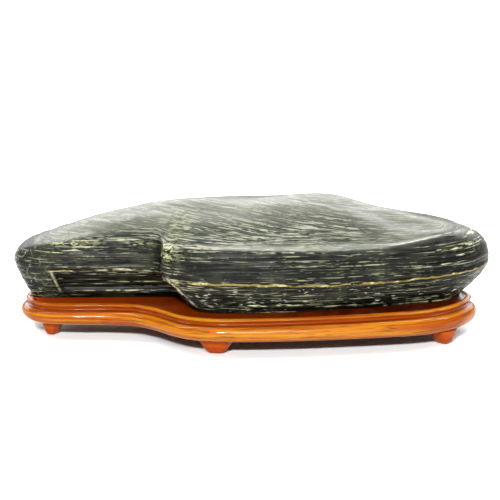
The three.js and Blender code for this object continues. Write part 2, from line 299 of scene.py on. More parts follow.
class Zone(Place):
    """Where the stone's hollow, veins and worn places lie, and where light and shade are painted on
    it.

    Angles run round it from the left tip by the front, in degrees. Heights and depths are in
    millimetres. Steps and rows are counted from the rim in over the top.
    """

    HOLLOW = Stretch(20.2, 54, 1.2)
    HOLLOW_FOOT = Ramp(29, 38)
    UNDER_LEDGE = Ramp(0, 0.5)
    VEIN_RIDGE = Hump(0, 0.8)
    VEIN_BLOCK = Stretch(64, 176, 8)
    FACE_FOOT = Ramp(30.4, 34.4)
    LEFT_END = Hump(24, 12)
    RIGHT_END = Hump(180, 16)
    DIP_START = Ramp(0, 0.4)
    DIP_BACK = Ramp(38, 52)
    SEATED = Ramp(29.9, 33.4)
    FACE_END = Ramp(-0.2, 0)
    NOSE = Hump(24, 10)
    BROW = Hump(24, 8)
    NOTCH_BROW = Hump(46, 4, 0.5)
    BROW_BAND = Hump(70, 2, 0.8)
    CORNER = Hump(64, 5.5)
    CORNER_FOOT = Ramp(62, 71)
    CORNER_TOP = Ramp(0.02, 0.15, 0.7)
    CALM_BAND = Hump(59.5, 4.5, 0.85)
    CALM_FRONT = Stretch(70, 150, 10)
    CALM_LEFT = Stretch(26, 62, 12, 0.68)
    CALM_FOOT = Ramp(51, 57)
    # The top is painted paler than the face, for the light and sheen that fall on it
    TOP = Ramp(0, 0.5)
    # Painted sheen, and more gloss, on the back and ends of the top; painted light in the dell at the
    # notch
    SHEEN_BACK = Ramp(-32, 30)
    SHEEN_ENDS = Ramp(45, 110, 0.8)
    DELL = Hump(52, 9, 1.2)
    # Painted highlights along the cliff edge, the split under the ledge and the rim
    CLIFF = Hump(66.8, 0.6)
    CLIFF_TOP = Ramp(50, 56)
    SPLIT = Hump(19.9, 0.3, 0.55)
    NOTCH_LINE = Stretch(39, 47, 2)
    CORNER_LINE = Stretch(70, 86, 4)
    RIGHT_LINE = Stretch(136, 174, 5)
    LINE_ROW = Hump(-0.5, 0.8)
    NEAR_START = Ramp(0.04, 0.14)
    NEAR_BACK = Ramp(-25, 15)
    WASH_START = Ramp(-0.12, 0.04)
    WASH_BACK = Ramp(-30, 0, 0.45)
    THREAD_TOP = Ramp(-0.02, 0.1)
    DASHES = Stretch(68, 360, 8)
    DASH_TOP = Ramp(44, 52, 0.8)
    COVER_TOP = Ramp(-0.1, 0.12, 0.7)
    COVER_NOSE = Hump(24, 10, 0.75)
    COVER_END = Stretch(166, 204, 8, 0.7)
    LEFT_VEIN = Stretch(18, 56, 2)
    RIGHT_VEIN = Stretch(62, 190, 8)
    # A waxed band along the front rim, glossier and painted with a sheen
    POLISH_AND_SHEEN = Stretch(72, 162, 14)
    POLISH_AND_SHEEN_ROW = Hump(1, 4.5)
    SHADE = Stretch(55, 66.4, 1)
    SHADE_TOP = Ramp(47, 53)


class Moulding(Place):
    """Where stains, flush, painted shade and painted light lie on the tray, by height, distance in or
    angle.
    """

    GROOVE = Hump(21.9, 0.5, 0.7)
    QUIRK = Hump(24.9, 0.35, 0.6)
    FLANGE = Ramp(0.9, 1.9, 0.8)
    FLUSH = Hump(23.2, 1.6)
    # Painted light: a paler band on the torus at the front middle
    LIT_TORUS = Stretch(12, 22, 4, 0.3)
    LIT_FRONT = Hump(112, 30)


def outward(ahead: Array) -> Array:
    """Level directions outwards beside the way ahead, anticlockwise as seen from above."""
    ahead = ahead[:, :2] / np.linalg.norm(ahead[:, :2], axis=1, keepdims=True)
    return np.stack([ahead[:, 1], -ahead[:, 0]], axis=1)


def ring_outward(ring: Array) -> Array:
    """Level outward directions of a closed ring of points."""
    return outward(np.roll(ring, -1, axis=0) - np.roll(ring, 1, axis=0))


def even_angles(columns: int) -> Array:
    """Even angles once round, in degrees."""
    return np.arange(columns) * 360 / columns


def placed(name: str, data: bpy.types.ID) -> Thing:
    """Adds an object to the scene.

    Args:
        name: Its name.
        data: Its mesh, lamp or camera.

    Returns:
        The new object, at the origin.
    """
    made = bpy.data.objects.new(name, data)
    bpy.context.scene.collection.objects.link(made)
    return made


def keep(mesh: bpy.types.Mesh, marks: dict[str, Array]) -> None:
    """Keeps values by name on the points of a mesh.

    Args:
        mesh: The mesh, whose last points may have no value.
        marks: The values of each name.
    """
    for name, values in marks.items():
        spare = np.zeros(len(mesh.vertices) - values.size)
        layer = mesh.attributes.new(name, "FLOAT", "POINT")
        layer.data.foreach_set("value", np.concatenate([values.ravel(), spare]))


def stacked_mesh(name: str, rings: Array, bottom: Colour, top: Colour | None,
                 marks: dict[str, Array]) -> Thing:
    """One closed mesh from rings stacked bottom to top.

    Args:
        name: Name of the new object.
        rings: Points in millimetres, row by row, each row once round.
        bottom: Centre of the fan under the first ring.
        top: Centre of the fan over the last ring, or None where that ring folds flat.
        marks: Values for each ring point, kept as attributes of the mesh.

    Returns:
        The new object, smooth shaded, in metres.
    """
    rows, columns, _ = rings.shape
    points = [rings.reshape(-1, 3), np.array([bottom])]
    row, column = np.meshgrid(np.arange(rows - 1), np.arange(columns), indexing="ij")
    near = (row * columns + column).ravel()
    beside = (row * columns + (column + 1) % columns).ravel()
    faces = np.stack([near, beside, beside + columns, near + columns], axis=1).tolist()
    pairs = [(a, (a + 1) % columns) for a in range(columns)]
    last = (rows - 1) * columns
    faces += [(b, a, rows * columns) for a, b in pairs]
    if top is not None:
        points.append(np.array([top]))
        faces += [(a + last, b + last, rows * columns + 1) for a, b in pairs]
    else:
        fold = {last + columns - i: last + i for i in range(1, columns // 2)}
        faces = [tuple(dict.fromkeys(fold.get(v, v) for v in face)) for face in faces]
        faces = [face for face in faces if len(face) > 2]
    mesh = bpy.data.meshes.new(name)
    mesh.from_pydata((np.concatenate(points) * MM).tolist(), [], faces)
    keep(mesh, marks)
    mesh.polygons.foreach_set("use_smooth", [True] * len(mesh.polygons))
    mesh.update()
    return placed(name, mesh)


@dataclass(frozen=True)
class Pattern:
    """Noise drawn out along the layers or the grain.

    It has the length and thickness of a feature, the number and strength of finer octaves, the
    range in which it shows, and a shift across that keeps it apart from the others.
    """

    length: float
    thickness: float
    detail: float = 2
    roughness: float = 0.6
    shown: Range = (0, 1)
    shift: float = 0


@dataclass
class Graph:
    """Adds nodes to one node tree and joins them."""

    tree: bpy.types.NodeTree

    def node(self, kind: str, **settings: object) -> bpy.types.Node:
        """Adds one node.

        Args:
            kind: Its type.
            settings: Its own settings.

        Returns:
            The new node.
        """
        made = self.tree.nodes.new(kind)
        for key, value in settings.items():
            setattr(made, key, value)
        return made

    def feed(self, socket: Socket, value: object) -> None:
        """Joins a socket to another, or gives it a plain value.

        Args:
            socket: The input that is fed.
            value: An output, or a plain value or colour.
        """
        if isinstance(value, Socket):
            self.tree.links.new(value, socket)
        elif socket.type == "RGBA" and len(value) == 3:
            socket.default_value = (*value, 1)
        else:
            socket.default_value = value

    def result(self, made: bpy.types.Node, *terms: object, **named: object) -> Socket:
        """Feeds a node and reads it.

        Args:
            made: The node.
            terms: Values for its first inputs, in order.
            named: Values for inputs by name, written with _ for a space.

        Returns:
            Its first output that is in use.
        """
        for socket, term in zip(made.inputs, terms):
            self.feed(socket, term)
        inputs = {socket.name: socket for socket in made.inputs if socket.enabled}
        for name, term in named.items():
            self.feed(inputs[name.replace("_", " ")], term)
        return next(output for output in made.outputs if output.enabled)

    def math(self, operation: str, *terms: object) -> Socket:
        """Result of one Math node."""
        return self.result(self.node("ShaderNodeMath", operation=operation), *terms)

    def scaled(self, vector: Socket, scale: object) -> Socket:
        """A vector with its values multiplied by a number."""
        made = self.node("ShaderNodeVectorMath", operation="SCALE")
        return self.result(made, vector, Scale=scale)

    def combine(self, x: object, y: object, z: object) -> Socket:
        """A vector from three values."""
        return self.result(self.node("ShaderNodeCombineXYZ"), x, y, z)

    def separate(self, vector: Socket) -> list[Socket]:
        """The three values of a vector."""
        made = self.node("ShaderNodeSeparateXYZ")
        self.feed(made.inputs[0], vector)
        return list(made.outputs)

    def times(self, first: object, second: object) -> Socket:
        """Product of two values."""
        return self.math("MULTIPLY", first, second)

    def noise(self, vector: Socket, detail: float, roughness: float, size: float = 1) -> Socket:
        """Noise at a place.

        Args:
            vector: Where the noise is read.
            detail: Number of finer octaves.
            roughness: Strength of the finer octaves.
            size: Size of a feature, in the vector's units.

        Returns:
            The noise, mostly from 0.25 to 0.75.
        """
        made = self.node("ShaderNodeTexNoise", noise_dimensions="3D")
        return self.result(made, Vector=vector, Scale=1 / size, Detail=detail, Roughness=roughness)

    def drawn(self, pattern: Pattern, *place: object, spacing: object = 1.0) -> Socket:
        """Noise of a pattern.

        Args:
            pattern: Its sizes.
            place: The two values along the pattern and the one across it.
            spacing: What its thickness is counted in.

        Returns:
            The noise.
        """
        sizes = (pattern.length, pattern.length, self.times(spacing, pattern.thickness))
        scaled = [self.math("DIVIDE", value, size) for value, size in zip(place, sizes)]
        return self.noise(self.combine(*scaled), pattern.detail, pattern.roughness)

    def spread(self, value: object, low: float, high: float, bottom: float = 0,
               top: float = 1) -> Socket:
        """Eased share of a value from low to high, taken from bottom to top."""
        made = self.node("ShaderNodeMapRange", interpolation_type="SMOOTHSTEP")
        return self.result(made, value, low, high, bottom, top)

    def tint(self, share: object, first: object, second: object) -> Socket:
        """A colour between two colours."""
        made = self.node("ShaderNodeMix", data_type="RGBA")
        return self.result(made, Factor=share, A=first, B=second)


@dataclass
class Surface(Graph):
    """The node graph of one material, with places in millimetres."""

    name: str = "surface"
    tree: bpy.types.NodeTree = field(init=False)
    material: Material = field(init=False)
    shader: bpy.types.Node = field(init=False)
    place: Socket = field(init=False)

    def __post_init__(self) -> None:
        """Starts the material with its shader and its place in millimetres."""
        self.material = bpy.data.materials.new(self.name)
        self.material.use_nodes = True
        self.tree = self.material.node_tree
        self.shader = self.tree.nodes["Principled BSDF"]
        coordinates = self.node("ShaderNodeTexCoord").outputs["Object"]
        self.place = self.scaled(coordinates, 1 / MM)

    def mark(self, name: str) -> Socket:
        """A value kept on the mesh."""
        return self.node("ShaderNodeAttribute", attribute_name=name).outputs["Fac"]

    def laid(self, ground: object, colour: object, strength: float,
             pattern: Socket, where: object = 1.0) -> Socket:
        """A colour laid over the ground.

        Args:
            ground: Colour underneath.
            colour: Colour on top.
            strength: How far it covers where the pattern is full.
            pattern: The pattern, 0 to 1.
            where: Share of the pattern that this place has.

        Returns:
            The new colour.
        """
        return self.tint(self.times(self.times(pattern, where), strength), ground, colour)

    def bump(self, height: Socket, depth: float, **under: Socket) -> Socket:
        """Surface normal over a height.

        Args:
            height: Height pattern from 0 to 1.
            depth: Its depth in millimetres.
            under: As Normal, a coarser bump that this one is laid on.

        Returns:
            The bumped normal.
        """
        return self.result(self.node("ShaderNodeBump"), Strength=1.0, Distance=depth * MM,
                           Height=height, **under)

    def finish(self, **sockets: object) -> Material:
        """Sets the shader's sockets, written with _ for a space, and hands over the material."""
        self.result(self.shader, **sockets)
        return self.material


@dataclass
class Relief(Graph):
    """A Geometry Nodes tree that reworks one mesh, with named inputs."""

    name: str = "relief"
    tree: bpy.types.NodeTree = field(init=False)
    start: bpy.types.Node = field(init=False)

    def __post_init__(self) -> None:
        """Starts the tree with the geometry going in and coming out."""
        self.tree = bpy.data.node_groups.new(self.name, "GeometryNodeTree")
        for way in ("INPUT", "OUTPUT"):
            self.tree.interface.new_socket("Geometry", in_out=way, socket_type="NodeSocketGeometry")
        self.start = self.node("NodeGroupInput")

    def given(self, name: str, kind: str = "Float") -> Socket:
        """A named value that goes into the tree, a Float for a size or an Object."""
        self.tree.interface.new_socket(name, in_out="INPUT", socket_type="NodeSocket" + kind)
        return self.start.outputs[name]

    def mark(self, name: str) -> Socket:
        """A value kept on the mesh."""
        made = self.node("GeometryNodeInputNamedAttribute", data_type="FLOAT")
        return self.result(made, Name=name)

    def place(self) -> Socket:
        """Places of the mesh in millimetres."""
        position = self.node("GeometryNodeInputPosition").outputs[0]
        return self.scaled(position, 1 / MM)

    def raised(self, geometry: Socket, height: Socket) -> Socket:
        """Moves every point along its normal.

        Args:
            geometry: The mesh.
            height: How far each point moves, in millimetres.

        Returns:
            The moved mesh.
        """
        normal = self.node("GeometryNodeInputNormal").outputs[0]
        offset = self.scaled(normal, self.times(height, MM))
        return self.result(self.node("GeometryNodeSetPosition"), Geometry=geometry, Offset=offset)

    def kept(self, geometry: Socket, name: str, value: Socket) -> Socket:
        """Geometry that keeps a value under a name."""
        made = self.node("GeometryNodeStoreNamedAttribute", data_type="FLOAT", domain="POINT")
        return self.result(made, Geometry=geometry, Name=name, Value=value)

    def close(self, geometry: Socket, material: Material) -> None:
        """Ends the tree in Realize Instances and Set Material.

        Args:
            geometry: The finished geometry.
            material: Its material.
        """
        real = self.result(self.node("GeometryNodeRealizeInstances"), geometry)
        dressed = self.result(self.node("GeometryNodeSetMaterial"), Geometry=real,
                              Material=material)
        self.feed(self.node("NodeGroupOutput").inputs[0], dressed)

    def work(self, made: Thing, **inputs: object) -> None:
        """Reworks an object's mesh with the tree and leaves it plain, with no modifier.

        Args:
            made: The object whose mesh goes in.
            inputs: Values for the named inputs, written with _ for a space.
        """
        modifier = made.modifiers.new(self.name, "NODES")
        modifier.node_group = self.tree
        identifiers = {item.name: item.identifier for item in self.tree.interface.items_tree}
        for name, value in inputs.items():
            modifier[identifiers[name.replace("_", " ")]] = value
        seen = made.evaluated_get(bpy.context.evaluated_depsgraph_get())
        plain = bpy.data.meshes.new_from_object(seen)
        made.modifiers.remove(modifier)
        plain.name = made.name
        made.data = plain


@dataclass(frozen=True)
class SlateFinish:
    """Waxed dark slate in thin pale and gold layers, with painted light and shade on its top, rim and
    edges.
    """

    dark: Colour = (0.001, 0.0013, 0.0007)
    middle: Colour = (0.009, 0.01, 0.007)
    thread: Colour = (0.36, 0.36, 0.22)
    # Ground of the top, painted paler than the face for the light and sheen on it
    painted_light_top: Colour = (0.01, 0.011, 0.008)
    painted_light_top_pale: Colour = (0.045, 0.049, 0.036)
    # Painted sheen on the back and ends of the top
    back_sheen: Colour = (0.09, 0.095, 0.072)
    wash: Colour = (0.21, 0.22, 0.165)
    moss: Colour = (0.035, 0.042, 0.02)
    # Painted sheen on the waxed band along the rim
    sheen_paint: Colour = (0.13, 0.136, 0.118)
    # Painted highlight along the cliff edge, the split and the rim
    edge_highlight: Colour = (0.42, 0.4, 0.27)
    straw: Colour = (0.36, 0.31, 0.15)
    gold: Colour = (0.16, 0.12, 0.03)
    lichen: Colour = (0.32, 0.33, 0.16)
    chalk: Colour = (0.3, 0.32, 0.24)
    fine: Pattern = Pattern(30, 1.2, 3)
    hair: Pattern = Pattern(60, 1.0, 2, 0.5, (0.56, 0.61), 37)
    breaks: Pattern = Pattern(8, 1.5, 2, 0.6, (0.43, 0.58), 53)
    bands: Pattern = Pattern(130, 9, 2, 0.6, (0.4, 0.6, 0.35, 1), 19)
    dash: Pattern = Pattern(5, 0.9, 1, 0.5, (0.62, 0.68), 71)
    streak: Pattern = Pattern(26, 1.15, 2, 0.6, (0.49, 0.56), 91)
    pieces: Pattern = Pattern(7, 1.6, 2, 0.6, (0.38, 0.54), 113)
    blots: Pattern = Pattern(4.5, 1.8, 2, 0.6, (0.5, 0.57), 131)
    spots: Speckle = (2, 0.6, 8)
    patches: Speckle = (3, 0.6, 17)
    curls: Speckle = (2, 0.55, 6)
    wander: Speckle = (2, 0.5, 9)
    flecks: Speckle = (3, 0.7, 8)
    grit: Speckle = (2, 0.7, 1.4)
    dark_layers: Range = (0.45, 0.62)
    pale_layers: Range = (0.38, 0.6)
    moss_patches: Range = (0.5, 0.68)
    dash_spots: Range = (0.48, 0.58)
    curl_spots: Range = (0.42, 0.56)
    curl_width: Range = (0.024, 0.006)
    seam_spots: Range = (0.3, 0.42)
    seam_width: Range = (0.95, 0.35)
    seam_wander: float = 3.4
    straw_spots: Range = (0.5, 0.62)
    edge_spots: Range = (0.36, 0.5)
    gloss: Range = (0.3, 0.7, 0.32, 0.46)
    near_matt: float = 0.36
    wash_matt: float = 0.08
    waxed: float = 0.08
    layer_edge: float = 1.2
    relief: float = 0.3
    pitting: float = 0.08

    def layers(self, s: Surface, pattern: Pattern) -> Socket:
        """Noise of a pattern that is drawn out along the layers."""
        x, y, _ = s.separate(s.place)
        return s.drawn(pattern, x, y, s.math("ADD", s.mark("layer"), pattern.shift))

    def shown(self, s: Surface, pattern: Pattern) -> Socket:
        """The part of a pattern that shows."""
        return s.spread(self.layers(s, pattern), *pattern.shown)

    def colours(self, s: Surface, fine: Socket) -> Socket:
        """Lays the stone's colours over each other.

        Args:
            s: The material's graph.
            fine: The noise of the finest layers.

        Returns:
            The colour.
        """
        spots = s.noise(s.place, *self.spots)
        dark = s.tint(s.spread(fine, *self.dark_layers), self.dark, self.middle)
        # The top's ground, painted paler for the light on it
        pale = s.tint(s.spread(fine, *self.pale_layers), self.painted_light_top, self.painted_light_top_pale)
        patch = s.spread(s.noise(s.place, *self.patches), *self.moss_patches)
        lines = s.times(self.shown(s, self.hair), self.shown(s, self.breaks))
        lines = s.times(lines, self.shown(s, self.bands))
        washed = s.times(s.mark("washes"), self.shown(s, self.pieces))
        dashed = s.times(s.spread(spots, *self.dash_spots), s.mark("dashes"))
        curls = s.math("ABSOLUTE", s.math("SUBTRACT", s.noise(s.place, *self.curls), 0.5))
        curled = s.times(s.mark("nose"), s.spread(spots, *self.curl_spots))
        wander = s.math("SUBTRACT", s.noise(s.place, *self.wander), 0.5)
        apart = s.math("MULTIPLY_ADD", wander, self.seam_wander, s.mark("below"))
        seam = s.spread(s.math("ABSOLUTE", apart), *self.seam_width)
        seam = s.times(seam, s.spread(spots, *self.seam_spots))
        straw = s.spread(s.noise(s.place, *self.flecks), *self.straw_spots)
        # The top's ground is painted paler than the face, for the light and sheen on it
        colour = s.tint(s.mark("top"), dark, pale)
        for paint, strength, pattern, where in (
            (self.moss, 0.3, patch, 1.0),
            # Painted sheen on the waxed band along the rim
            (self.sheen_paint, 0.8, s.mark("polish"), 1.0),
            (self.thread, 0.95, lines, s.mark("threads")),
            # Painted sheen on the back and ends of the top and painted light in the dell
            (self.back_sheen, 0.7, s.mark("far"), 1.0),
            (self.wash, 0.95, self.shown(s, self.streak), washed),
            (self.chalk, 0.9, self.shown(s, self.dash), dashed),
            (self.chalk, 1.0, s.spread(curls, *self.curl_width), curled),
            (self.lichen, 0.95, self.shown(s, self.blots), s.mark("worn")),
            (s.tint(straw, self.gold, self.straw), 1.0, seam, s.mark("vein")),
            # Painted highlights along the cliff edge, the split and the rim
            (self.edge_highlight, 0.8, s.spread(spots, *self.edge_spots), s.mark("edge")),
            (self.dark, 0.8, s.mark("shade"), 1.0),
        ):
            colour = s.laid(colour, paint, strength, pattern, where)
        return colour

    def material(self) -> Material:
        """Builds the stone's material."""
        s = Surface(name="layered_slate")
        fine = self.layers(s, self.fine)
        grit = s.noise(s.place, *self.grit)
        grain = s.math("ADD", s.times(fine, 0.5), s.times(grit, 0.5))
        rough = s.spread(grain, *self.gloss)
        rough = s.math("MULTIPLY_ADD", s.mark("near"), self.near_matt, rough)
        rough = s.math("MULTIPLY_ADD", s.mark("washes"), self.wash_matt, rough)
        waxed = s.times(s.math("ADD", s.mark("far"), s.mark("polish")), self.waxed)
        rough = s.math("SUBTRACT", rough, waxed)
        layered = s.times(fine, s.math("SUBTRACT", self.layer_edge, s.mark("top")))
        normal = s.bump(grit, self.pitting, Normal=s.bump(layered, self.relief))
        return s.finish(Base_Color=self.colours(s, fine), Roughness=rough, Normal=normal,
                        Specular_IOR_Level=0.12)


@dataclass(frozen=True)
class VarnishFinish:
    """Varnished orange wood whose grain runs along the stand, stained in its hollows, with painted
    shade and painted light.
    """

    name: str
    light: Colour
    deep: Colour
    flush: Colour
    stain: Colour
    coat: float
    # Painted light on the front middle of the torus
    lit_honey: Colour = (0.46, 0.2, 0.022)
    grain: Pattern = Pattern(60, 2.6, 3, 0.6, (0.36, 0.62))
    figure: Pattern = Pattern(110, 6, 1, 0.5, (0.5, 0.72))
    pores: Pattern = Pattern(16, 0.9, 2, 0.5, (0.56, 0.68))
    gloss: Range = (0.4, 0.7, 0.3, 0.45)
    blots: Range = (0.35, 0.65, 0.75, 1.0)
    blotches: Speckle = (3, 0.6, 14)
    pore_stain: float = 0.55
    fibre_depth: float = 0.08

    def material(self) -> Material:
        """Builds the wood's material."""
        s = Surface(name=self.name)
        fibres = [s.mark(name) for name in ("loop_x", "loop_y", "across")]
        grain, figure, pores = (s.drawn(p, *fibres) for p in (self.grain, self.figure, self.pores))
        wood = s.tint(s.spread(grain, *self.grain.shown), self.deep, self.light)
        wood = s.tint(s.spread(figure, *self.figure.shown), wood, self.deep)
        # Painted light on the front middle of the torus
        wood = s.tint(s.mark("pale"), wood, self.lit_honey)
        wood = s.laid(wood, self.stain, self.pore_stain, s.spread(pores, *self.pores.shown))
        colour = s.tint(s.mark("flush"), wood, self.flush)
        blot = s.spread(s.noise(s.place, *self.blotches), *self.blots)
        # Stains in the hollows, and painted shade on the flange, the underside and the right end
        colour = s.laid(colour, self.stain, 1.0, s.mark("stain"), blot)
        return s.finish(Base_Color=colour, Roughness=s.spread(pores, *self.gloss),
                        Normal=s.bump(grain, self.fibre_depth), Specular_IOR_Level=0.05,
                        Coat_Weight=self.coat, Coat_Roughness=0.09, Coat_IOR=1.35)


@dataclass(frozen=True)
class PaperFinish:
    """The pale matt floor."""

    colour: Colour = (0.84, 0.84, 0.84)

    def material(self) -> Material:
        """Builds the floor's material."""
        return Surface(name="pale_floor").finish(Base_Color=self.colour, Roughness=0.8,
                                                 Specular_IOR_Level=0.2)


@dataclass
class Stone:
    """The layered stone, from its seat up to its worn top."""

    columns: int = 560
    lower_rows: int = 34
    ledge_rows: int = 13
    upper_rows: int = 34
    top_rows: int = 56
    neck: float = 28.4
    widest: float = 53
    crest_y: float = 40
    crest_spread: float = 0.4
    crest_rounding: float = 10
    spine_half_length: float = 112
    top_slope: float = 0.195
    back_slope: float = 0.25
    lift_spread: float = 45
    swell: float = 0.7
    swell_lengths: tuple[float, float, float, float] = (15, 21, 9, 47)
    hollow_depth: float = 5
    vein_height: float = 0.7
    shoulder_turn: float = math.radians(82)
    shoulder_ease: float = 1.15
    coarse_depth: float = 0.25
    coarse_rate: float = 1.9
    coarse_drift: float = 11
    fine_depth: float = 0.3
    fine_rate: float = 0.83
    fine_drift: float = 19
    end_calm: float = 0.7
    nose_shift: float = 20
    far_middle: float = 5
    dip_forward: float = 0.243
    dip_start: float = -53
    layer_spacing: float = 1.7
    layer_depth: float = 0.4
    layer_waver: float = 1.6
    shelves: Pattern = Pattern(38, 1, 1, 0.55, (0.4, 0.6, -0.5, 0.5))
    broad: Pattern = Pattern(55, 3, 1, 0.55, (0.35, 0.65, -0.5, 0.5))
    chips: Pattern = Pattern(9, 1, 2, 0.55, (0.56, 0.68, 0, -0.8))
    broad_share: float = 0.8
    wander: Speckle = (2, 0.5, 33)
    at: Array = field(init=False)

    def __post_init__(self) -> None:
        """Sets out the columns at even angles, the same on the front as on the back."""
        self.at = even_angles(self.columns)

    def relief(self, z: Array) -> Array:
        """How far the layered face stands out from its smooth form.

        Args:
            z: Heights of the points.

        Returns:
            The distance out in millimetres.
        """
        below = along(LEDGE, self.at) - z
        hollow = self.hollow_depth * Zone.HOLLOW.over(self.at) * Zone.HOLLOW_FOOT.over(z)
        vein = Zone.VEIN_RIDGE.over(below) * self.vein_height * Zone.VEIN_BLOCK.over(self.at)
        drift = np.sin(self.at / self.coarse_drift)
        coarse = self.coarse_depth * np.sin(z * self.coarse_rate + drift)
        fine = self.fine_depth * np.sin(z * self.fine_rate + self.at / self.fine_drift)
        nose_angle = (self.at + self.nose_shift) % 360
        ends = Zone.LEFT_END.over(nose_angle) + Zone.RIGHT_END.over(self.at)
        layered = vein + (coarse + fine) * (1 - self.end_calm * ends)
        return (layered - hollow * Zone.UNDER_LEDGE.over(below)) * Zone.FACE_FOOT.over(z)

    def top_height(self, x: Array, y: Array) -> Array:
        """Height of the worn top.

        Args:
            x: Places along the length.
            y: Places across, to the back.

        Returns:
            The height in millimetres.
        """
        spread = self.crest_spread * np.maximum(self.crest_y - y, 0)
        crest = (along(CREST, x - spread) + 2 * along(CREST, x) + along(CREST, x + spread)) / 4
        slope = np.where(y < self.crest_y, self.top_slope, self.back_slope)
        fall = slope * (np.hypot(y - self.crest_y, self.crest_rounding) - self.crest_rounding)
        long, wide, narrow, far = self.swell_lengths
        swell = self.swell * np.sin(x / long + y / wide) * np.sin(y / narrow - x / far)
        return crest - fall + swell

    def face_rings(self) -> Array:
        """Rings of the undercut face from the seat floor to the widest level."""
        base = around(Outline.BASE, self.at)
        wide = around(Outline.WIDE, self.at)
        lean = around(Outline.LEAN, self.at)
        out = ring_outward(wide)
        neck = self.neck + TILT * base[:, 0]
        ledge = along(LEDGE, self.at)
        lower = np.linspace(0, 1, self.lower_rows)
        upper = np.linspace(0, 1, self.ledge_rows)[1:]
        levels = [neck + (ledge - neck) * share for share in lower]
        levels += [ledge + (self.widest - ledge) * share for share in upper]
        rows = [np.column_stack([base, np.full(len(base), SEAT_FLOOR)])]
        for z in levels:
            level = np.clip((z - neck) / (self.widest - neck), 0, 1)
            share = 1 - (1 - level) ** lean
            xy = base + (wide - base) * share[:, None] + out * self.relief(z)[:, None]
            rows.append(np.column_stack([xy, z]))
        return np.array(rows)

    def shoulder_rings(self) -> Array:
        """Rings of the upper face, a quarter round to the rim."""
        wide = around(Outline.WIDE, self.at)
        rim = around(Outline.RIM, self.at)
        rim_height = around(Outline.RIM_HEIGHT, self.at)
        square = around(Outline.SQUARE, self.at)
        out = ring_outward(wide)
        full = self.shoulder_turn
        rows = []
        for step in np.linspace(0, 1, self.upper_rows + 1)[1:] ** self.shoulder_ease:
            inwards = (1 - math.cos(step * full) ** square) / (1 - math.cos(full) ** square)
            upwards = (math.sin(step * full) / math.sin(full)) ** square
            z = self.widest + (rim_height - self.widest) * upwards
            xy = wide + (rim - wide) * inwards[:, None]
            xy = xy + out * (self.relief(z) * (1 - step))[:, None]
            rows.append(np.column_stack([xy, z]))
        return np.array(rows)

    def rim_lift(self, spread: float) -> Array:
        """How far the rim stands over the plain form of the top.

        Args:
            spread: Angle to each side that it is evened out over.

        Returns:
            The height for each column.
        """
        lifts = []
        for share in (-1, -0.5, 0, 0.5, 1):
            angle = (self.at + share * spread + 360) % 360
            x, y = around(Outline.RIM, angle).T
            lifts.append(around(Outline.RIM_HEIGHT, angle) - self.top_height(x, y))
        return np.mean(lifts, axis=0)

    def top_rings(self) -> Array:
        """Rings of the top, from the rim in to the spine."""
        rim = around(Outline.RIM, self.at)
        spine = np.column_stack([-self.spine_half_length * np.cos(np.radians(self.at)),
                                 np.full(len(rim), MIDDLE_Y)])
        rows = []
        for step in np.linspace(0, 1, self.top_rows + 1)[1:]:
            xy = rim + (spine - rim) * step
            lift = self.rim_lift(self.lift_spread * step) * (1 - step) ** 2
            z = self.top_height(xy[:, 0], xy[:, 1]) + lift
            rows.append(np.column_stack([xy, z]))
        return np.array(rows)

    def marks(self, rings: Array) -> dict[str, Array]:
        """Values that the relief and the finish read at each point.

        Args:
            rings: Points of the whole stone.

        Returns:
            The values by name.
        """
        rows = len(rings)
        x, y, z = np.moveaxis(rings, 2, 0)
        angle = np.broadcast_to(self.at, x.shape)
        nose_angle = (angle + self.nose_shift) % 360
        past = np.broadcast_to(np.arange(rows)[:, None] - rows + self.top_rows, x.shape)
        step = (past + 1) / self.top_rows
        dip = self.dip_forward * (np.minimum(y, self.crest_y) - self.dip_start) + along(DIP, x)
        seated = Zone.SEATED.over(z)
        below = along(LEDGE, self.at) - z
        face = Zone.FACE_END.outside(step)
        brow = Zone.BROW.over(angle) + Zone.NOTCH_BROW.over(angle)
        corner = Zone.CORNER.over(angle) * Zone.CORNER_FOOT.over(z) * Zone.CORNER_TOP.outside(step)
        calm = Zone.CALM_BAND.over(z) * Zone.CALM_FRONT.over(angle)
        calm = calm + Zone.CALM_LEFT.over(angle) * Zone.CALM_FOOT.over(z)
        top = Zone.TOP.over(step)
        far = np.maximum(Zone.SHEEN_BACK.over(y), Zone.SHEEN_ENDS.over(abs(x - self.far_middle)))
        cliff = Zone.CLIFF.over(angle) * Zone.CLIFF_TOP.outside(z)
        split = Zone.SPLIT.over(angle) * (below > 0)
        lines = sum(line.over(angle) for line in (Zone.CORNER_LINE, Zone.RIGHT_LINE,
                                                  Zone.NOTCH_LINE))
        veins = np.maximum(Zone.LEFT_VEIN.over(angle), Zone.RIGHT_VEIN.over(angle))
